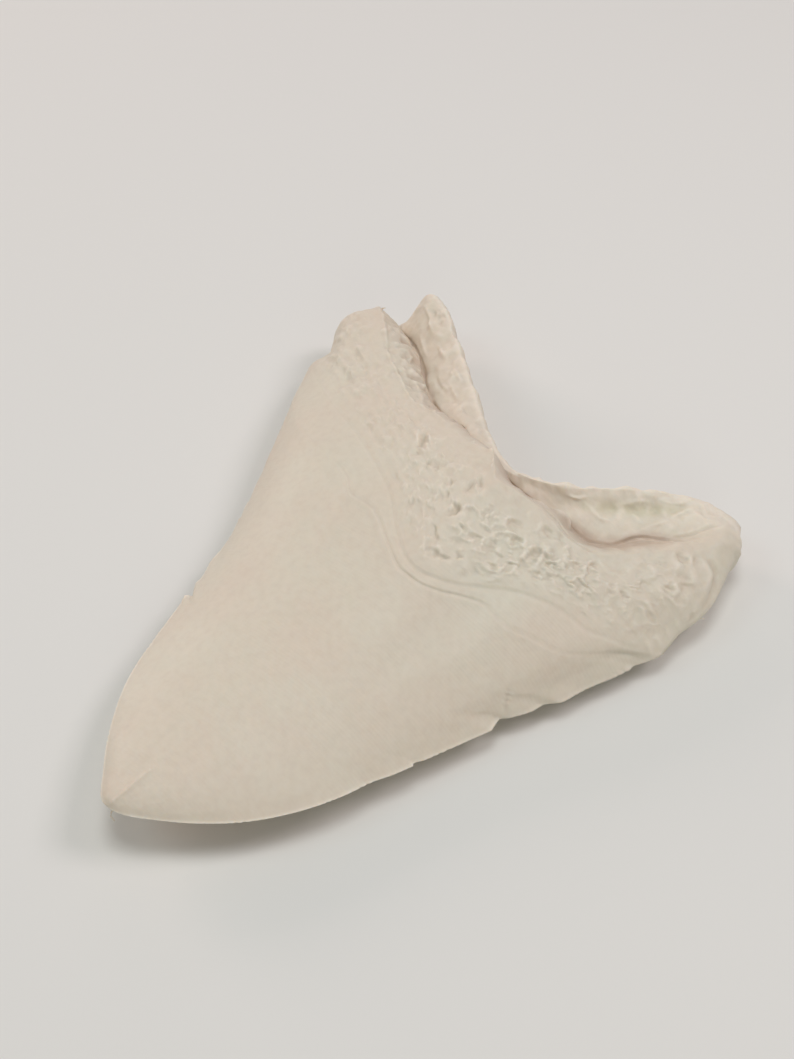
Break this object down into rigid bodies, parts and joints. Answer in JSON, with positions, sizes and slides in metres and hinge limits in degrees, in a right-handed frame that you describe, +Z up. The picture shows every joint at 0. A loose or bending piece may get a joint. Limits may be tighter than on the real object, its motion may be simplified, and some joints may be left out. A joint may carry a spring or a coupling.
{
  "type": "fossil shark tooth replica",
  "caption": "Broad triangular shark tooth with fine serrated edges, a bulging pitted root with side lobes and a notch, and a narrow band between blade and root.",
  "frame": {"origin": "centre of the footprint on the surface that the tooth lies on", "axes": "+Y runs along the tooth from the point to the root, +X across its width to the right with the inner face up, +Z up out of the inner face"},
  "size_m": [0.1178, 0.1494, 0.0279],
  "materials": {
    "ivory_plastic": "satin ivory, slightly see-through, printed in thin layers"
  },
  "bodies": {
    "root": {"tooth": "ivory_plastic"}
  },
  "joints": []
}
